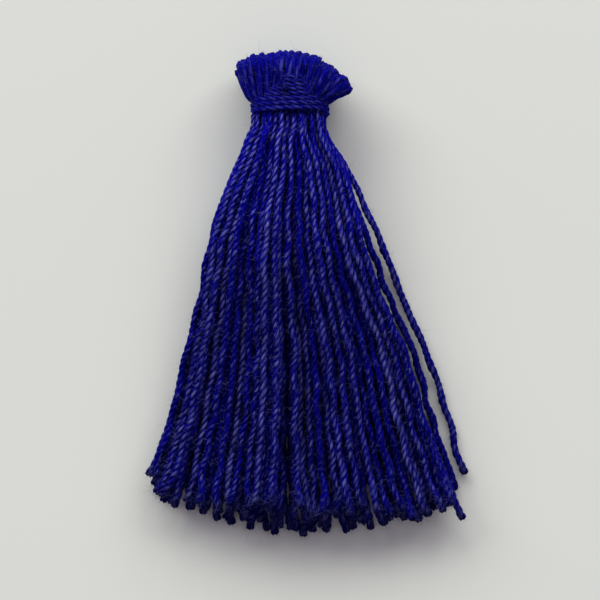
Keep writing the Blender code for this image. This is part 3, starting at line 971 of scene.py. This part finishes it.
from_middle = vector(m, "SUBTRACT", m.node("GeometryNodeInputPosition"), named(m, "middle", "FLOAT_VECTOR"))
outer = m.node("ShaderNodeVectorMath", {0: from_middle}, output=1, operation="LENGTH")
tubes = store(m, tubes, "outer", outer / named(m, "thickness"))
above = m.node("ShaderNodeSeparateXYZ", {"Vector": from_middle}).other("Z")
tubes = store(m, tubes, "top", above / named(m, "thickness"))
strip = named(m, "yarn") * wires["Plies"] + named(m, "ply")
across_map = strip + STRIP_EDGE + named(m, "around") * (1.0 - 2.0 * STRIP_EDGE)
across_map = across_map / (wires["Yarns"] * wires["Plies"])
along_map = named(m, "along_share") * (1.0 - 2.0 * END_EDGE) + END_EDGE
flat_map = m.node("ShaderNodeCombineXYZ", {"X": across_map, "Y": along_map})
tubes = store(m, tubes, "OFBake", flat_map, domain="CORNER", data_type="FLOAT2")
tubes = m.node("GeometryNodeMergeByDistance", {"Geometry": tubes, "Distance": MERGE})
tubes = m.node("GeometryNodeSetShadeSmooth", {"Geometry": tubes, "Shade Smooth": True})
tubes = m.node("GeometryNodeRealizeInstances", {"Geometry": tubes})
tubes = m.node("GeometryNodeSetMaterial", {"Geometry": tubes, "Material": wires["Material"]})
end_geometry_tree(m, tubes)

# %% [markdown]
# ## The skein
#
# The loops are made in a few pieces, because one mesh of so much yarn would be too heavy to handle. Each
# loop's line goes in as loose edges that carry the yarn's thickness, its number, its tone and its turns.

# %% Lines as loose edges
TONE_SEED = 31
tone_random = np.random.default_rng(TONE_SEED)


def line_object(name, lines):
    """A mesh of loose edges, one chain for each line, with the attributes that the yarn tree reads."""
    vertices, edges = [], []
    values = {"thickness": [], "yarn": [], "tone": [], "along_share": [], "turns": []}
    for number, line in enumerate(lines):
        first, count = len(vertices), len(line)
        vertices += [tuple(point) for point in (line[:, :3] + (0.0, NECK_Y, 0.0)) * MM]
        edges += [(first + k, first + k + 1) for k in range(count - 1)]
        values["thickness"] += list(line[:, 3] * MM)
        values["yarn"] += [float(number)] * count
        values["tone"] += [float(tone_random.uniform())] * count
        values["along_share"] += list(np.linspace(0.0, 1.0, count))
        values["turns"] += list(line[:, 4])
    mesh = bpy.data.meshes.new(name)
    mesh.from_pydata(vertices, edges, [])
    for label, column in values.items():
        mesh.attributes.new(label, "FLOAT", "POINT").data.foreach_set("value", column)
    return add_to_scene(bpy.data.objects.new(name, mesh))


print("points in the first loop's line:", len(loop_lines[0]))

# %% Make the loops of the skein
YARN_STEP = 0.16
PLY_OFFSET = 0.245          # shares of the yarn's thickness
PLY_RADIUS = 0.272
SKEIN_PIECES = 4


def make_yarn(name, lines, material):
    thing = line_object(name, lines)
    run_tree(thing, yarn_maker.tree, yarn_inputs, {
        "Step": YARN_STEP * MM, "Ply offset": PLY_OFFSET, "Ply radius": PLY_RADIUS, "Plies": 3, "Sides": 5,
        "Yarns": len(lines), "Material": material})
    print(name, len(lines), "yarns,", triangles(thing), "triangles")
    return thing


per_piece = math.ceil(len(loop_lines) / SKEIN_PIECES)
skein = [make_yarn(f"skein_loops_{number + 1}", loop_lines[number * per_piece:(number + 1) * per_piece],
                   skein_cotton) for number in range(SKEIN_PIECES)]

# %% [markdown]
# ## The binding
#
# The neck is bound with a thinner thread. The first turns climb the neck, the later ones come back down over
# them, and at the front some ride up over the folded yarns. Beside that rise they sink between the yarns, so
# only their fronts show. One line winds all the turns, and the tucked end is a short line across them.

# %% Turns of the binding
BINDING_YARN = 0.35
Turn = namedtuple("Turn", "left right front inset sunk shown_from shown_to", defaults=(0.0, -2.5, 2.5))
TURNS = np.array([Turn(*row) for row in (
    # heights at the left, at the right and in front, depth, depth where it is sunk, and the part that shows
    (-0.50, -0.74, -0.24, 0.13),
    (-0.24, -0.48, 0.03, 0.13),
    (0.04, -0.24, 0.30, 0.13),
    (0.32, 0.00, 0.60, 0.13, 0.02),
    (0.44, 0.10, 0.92, 0.16, 0.34, -1.3, 1.1),
    (0.44, 0.08, 1.24, 0.18, 0.44, -0.9, 1.0),
    (0.42, 0.06, 1.54, 0.20, 0.50, -0.4, 0.9),
    (0.40, 0.04, 1.84, 0.14, 0.56, -0.1, 0.7),
    (0.42, 0.06, 1.60, 0.08, 0.56, -0.3, 0.9),
    (0.42, 0.08, 1.36, 0.10, 0.52, -0.3, 1.0),
    (0.44, 0.09, 1.08, 0.06, 0.46, -1.2, 0.7),
    (0.45, 0.10, 0.84, 0.08, 0.36, -1.0, 1.1),
    (0.44, 0.08, 0.50, 0.03, 0.06, -1.6, 1.3),
    (0.18, -0.18, 0.23, 0.00),
    (-0.10, -0.44, -0.05, 0.00),
    (-0.38, -0.70, -0.32, 0.03),
)])
EndPoint = namedtuple("EndPoint", "x y z thickness", defaults=(BINDING_YARN,))
TUCKED_END = np.array([
    EndPoint(x=-0.86, y=2.16, z=3.72),
    EndPoint(x=-0.72, y=1.95, z=4.04),
    EndPoint(x=-0.60, y=1.66, z=4.13),
    EndPoint(x=-0.48, y=1.34, z=4.12),
    EndPoint(x=-0.34, y=1.00, z=4.22),
    EndPoint(x=-0.24, y=0.72, z=4.02),
])
print("turns:", len(TURNS))

# %% Wind the binding
BINDING_RADIUS = (2.50, 2.05)   # over the crests of the turns
BINDING_TWIST = 1.7
BINDING_POINTS_PER_TURN = 40
BINDING_UNEVEN = 0.025          # how far a turn strays from its place (standard deviation)
BINDING_SEED = 12
CLIMB = (0.05, 0.72)            # sines of the angles round the neck at which a turn starts to climb and is up
SINKING = 0.60                  # length over which a riding turn sinks between the yarns


def smooth_share(value):
    """From 0 to 1 without a corner at either end."""
    share = min(1.0, max(0.0, value))
    return share * share * (3.0 - 2.0 * share)


def binding_line():
    """All turns of the binding, each running on into the next."""
    rows = TURNS.copy()
    rows[:, :3] += np.random.default_rng(BINDING_SEED).normal(0.0, BINDING_UNEVEN, (len(rows), 3))
    points = []
    for k in range((len(rows) - 1) * BINDING_POINTS_PER_TURN + 1):
        turn, part = divmod(k / BINDING_POINTS_PER_TURN, 1.0)
        row = rows[int(turn)] * (1.0 - part) + rows[min(int(turn) + 1, len(rows) - 1)] * part
        now = Turn(*row)
        angle = -math.pi / 2.0 + math.tau * part
        right_share = (1.0 + math.cos(angle)) / 2.0
        side = now.left * (1.0 - right_share) + now.right * right_share
        rise = smooth_share((math.sin(angle) - CLIMB[0]) / (CLIMB[1] - CLIMB[0]))
        crossed = BINDING_RADIUS[0] * math.cos(angle)
        beyond = max(now.shown_from - crossed, crossed - now.shown_to)
        depth = BINDING_YARN / 2.0 + now.inset + now.sunk * smooth_share(beyond / SINKING)
        x = (BINDING_RADIUS[0] - depth) * math.cos(angle)
        z = NECK_Z + (BINDING_RADIUS[1] - depth) * math.sin(angle)
        points.append((x, side + (now.front - side) * rise, z, BINDING_YARN))
    return smooth_line(np.array(points), PATH_STEP)


binding_lines = [with_turns(line, BINDING_TWIST)
                 for line in (binding_line(), smooth_line(TUCKED_END, PATH_STEP))]
binding = make_yarn("binding_thread", binding_lines, binding_cotton)
print("thread in the binding:", round(sum(len(line) for line in binding_lines) * PATH_STEP * MM, 2), "m")

# %% [markdown]
# ## Loose fibres
#
# Spun cotton is never smooth: short fibres stand off every yarn and blur its outline. A tree scatters points
# over the yarn, more of them where it is exposed and at the cut ends, puts a short tapered hair on each,
# bends the hairs with noise and keeps them above the floor. It is run twice on the skein, for a short nap and
# for a few long strays, and once on the binding.

# %% Scatter the hairs
LEAN = 0.75                 # how far a hair leans to a chance side, as much as outwards
HAIR_ROOT = -0.05           # a hair starts this share of its length inside the yarn
HAIR_SIZES = (0.35, 1.3)

fuzz_maker, wires, fuzz_inputs = start_geometry_tree("loose_fibres", {
    "Density": "Float", "Hair length": "Float", "Hair radius": "Float", "Hair points": "Int",
    "Curl": "Float", "Seed": "Int", "Material": "Material"})
m = fuzz_maker
scatter = m.node("GeometryNodeDistributePointsOnFaces", {
    "Mesh": wires["Geometry"], "Density": wires["Density"] * named(m, "exposed"), "Seed": wires["Seed"]})
chance = m.node("FunctionNodeRandomValue", {0: (-1.0, -1.0, -1.0), 1: (1.0, 1.0, 1.0), "Seed": wires["Seed"]},
                data_type="FLOAT_VECTOR")
lean = vector(m, "ADD", scaled(m, scatter.other("Normal"), LEAN), scaled(m, chance, LEAN))
facing = m.node("FunctionNodeAlignRotationToVector", {"Vector": lean}, axis="Z")
hair = m.node("GeometryNodeCurvePrimitiveLine", {"Start": (0.0, 0.0, HAIR_ROOT), "End": (0.0, 0.0, 1.0)})
hair = m.node("GeometryNodeResampleCurve", {"Curve": hair, "Count": wires["Hair points"]}, mode="COUNT")
hair = store(m, hair, "lift", m.node("GeometryNodeSplineParameter", output="Factor"))
size = m.node("FunctionNodeRandomValue", {2: HAIR_SIZES[0], 3: HAIR_SIZES[1], "Seed": wires["Seed"] + 7.0},
              output=1, data_type="FLOAT")
hairs = m.node("GeometryNodeInstanceOnPoints", {
    "Points": scatter, "Instance": hair, "Rotation": facing, "Scale": size * wires["Hair length"]})
hairs = m.node("GeometryNodeRealizeInstances", {"Geometry": hairs})
print("nodes so far:", len(m.tree.nodes))

# %% Bend the hairs, keep them off the floor and taper them
CURL_SCALE = 1700.0
PALEST_FIBRE = 0.45
TAPER = 0.75                # how much thinner a hair's tip is than its root

place = m.node("GeometryNodeInputPosition")
bend = m.node("ShaderNodeTexNoise", {"Vector": place, "Scale": CURL_SCALE, "Detail": 1.0}, output="Color")
bend = vector(m, "SUBTRACT", bend, (0.5, 0.5, 0.5))
hairs = m.node("GeometryNodeSetPosition", {
    "Geometry": hairs, "Offset": scaled(m, bend, named(m, "lift") * wires["Curl"])})
bent = m.node("ShaderNodeSeparateXYZ", {"Vector": m.node("GeometryNodeInputPosition")})
raised = bent.other("Z").at_least(wires["Hair radius"])
lifted = m.node("ShaderNodeCombineXYZ", {"X": bent, "Y": bent.other("Y"), "Z": raised})
hairs = m.node("GeometryNodeSetPosition", {"Geometry": hairs, "Position": lifted})
paleness = m.node("FunctionNodeRandomValue", {2: 0.0, 3: PALEST_FIBRE, "Seed": 3}, output=1,
                  data_type="FLOAT")
hairs = store(m, hairs, "fibre_tone", paleness)
section = m.node("GeometryNodeCurvePrimitiveCircle", {"Resolution": 3, "Radius": 1.0})
taper = wires["Hair radius"] * (1.0 - named(m, "lift") * TAPER)
hairs = m.node("GeometryNodeCurveToMesh", {
    "Curve": hairs, "Profile Curve": section, "Scale": taper, "Fill Caps": True})
hairs = m.node("GeometryNodeSetMaterial", {"Geometry": hairs, "Material": wires["Material"]})
end_geometry_tree(m, hairs)

# %% Where the yarn lies open
EXPOSURE_CELL = 0.30        # the heap is looked at from above in cells of this size
EXPOSURE_DEPTH = 0.40
TIP_LENGTH = 0.5
TIP_FIBRES = 2.5            # the cut ends shed this many times as many


def mark_exposed(things):
    """Give each point of the yarn a share for how open it lies: 1 near the heap's top, 0 under others."""
    spots = []
    for thing in things:
        spot = np.empty(len(thing.data.vertices) * 3, dtype=np.float32)
        thing.data.vertices.foreach_get("co", spot)
        spots.append(spot.reshape(-1, 3) / MM)
    everything = np.vstack(spots)
    low = everything.min(axis=0)
    shape = np.ceil((everything.max(axis=0) - low)[:2] / EXPOSURE_CELL).astype(int) + 1
    top = np.zeros(shape)
    cells = ((everything[:, :2] - low[:2]) / EXPOSURE_CELL).astype(int)
    np.maximum.at(top, (cells[:, 0], cells[:, 1]), everything[:, 2])
    for thing, spot in zip(things, spots):
        cells = ((spot[:, :2] - low[:2]) / EXPOSURE_CELL).astype(int)
        exposed = (spot[:, 2] > top[cells[:, 0], cells[:, 1]] - EXPOSURE_DEPTH).astype(float)
        to_end = np.ones(len(spot))
        thing.data.attributes["to_end"].data.foreach_get("value", to_end)
        exposed = np.where(to_end / MM < TIP_LENGTH, TIP_FIBRES * np.maximum(exposed, 0.5), exposed)
        attribute = thing.data.attributes.new("exposed", "FLOAT", "POINT")
        attribute.data.foreach_set("value", exposed.astype(np.float32))
        print(thing.name, "open:", round(100 * float((exposed > 0.0).mean())), "%")


mark_exposed([*skein, binding])

# %% Grow the fibres
Fibres = namedtuple("Fibres", "name length radius curl per_mm2 points")
NAP = Fibres(name="nap", length=0.30, radius=0.0085, curl=0.22, per_mm2=8.0, points=3)
STRAYS = Fibres(name="strays", length=0.80, radius=0.0075, curl=0.70, per_mm2=1.0, points=6)


def add_fibres(sources, prefix, kind, seed):
    """Copy the yarn of several pieces into one object and grow fibres from it."""
    joined = bmesh.new()
    for source in sources:
        joined.from_mesh(source.data)
    name = f"{prefix}_{kind.name}"
    mesh = bpy.data.meshes.new(name)
    joined.to_mesh(mesh)
    joined.free()
    thing = add_to_scene(bpy.data.objects.new(name, mesh))
    run_tree(thing, fuzz_maker.tree, fuzz_inputs, {
        "Density": kind.per_mm2 / MM ** 2, "Hair length": kind.length * MM, "Hair radius": kind.radius * MM,
        "Hair points": kind.points, "Curl": kind.curl * MM, "Seed": seed, "Material": fibre_cotton})
    print(name, triangles(thing), "triangles")
    return thing


skein_fibres = [add_fibres(skein, "skein", NAP, 5), add_fibres(skein, "skein", STRAYS, 8)]
binding_fibres = [add_fibres([binding], "binding", NAP, 6)]

# %% [markdown]
# ## Hand the pieces over
#
# The yarn takes the place of the plain solids. Nothing here moves: a tassel has no joints, so every piece
# rides on the one body.

# %% Ride, replace and finish
skein_pieces = [*skein, *skein_fibres]
binding_pieces = [binding, *binding_fibres]
for piece in skein_pieces:
    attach(piece, "root")
    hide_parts("yarn_bundle")
for piece in binding_pieces:
    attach(piece, "root")
    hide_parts("neck_binding")
print("triangles in all:", sum(triangles(piece) for piece in [*skein_pieces, *binding_pieces]))
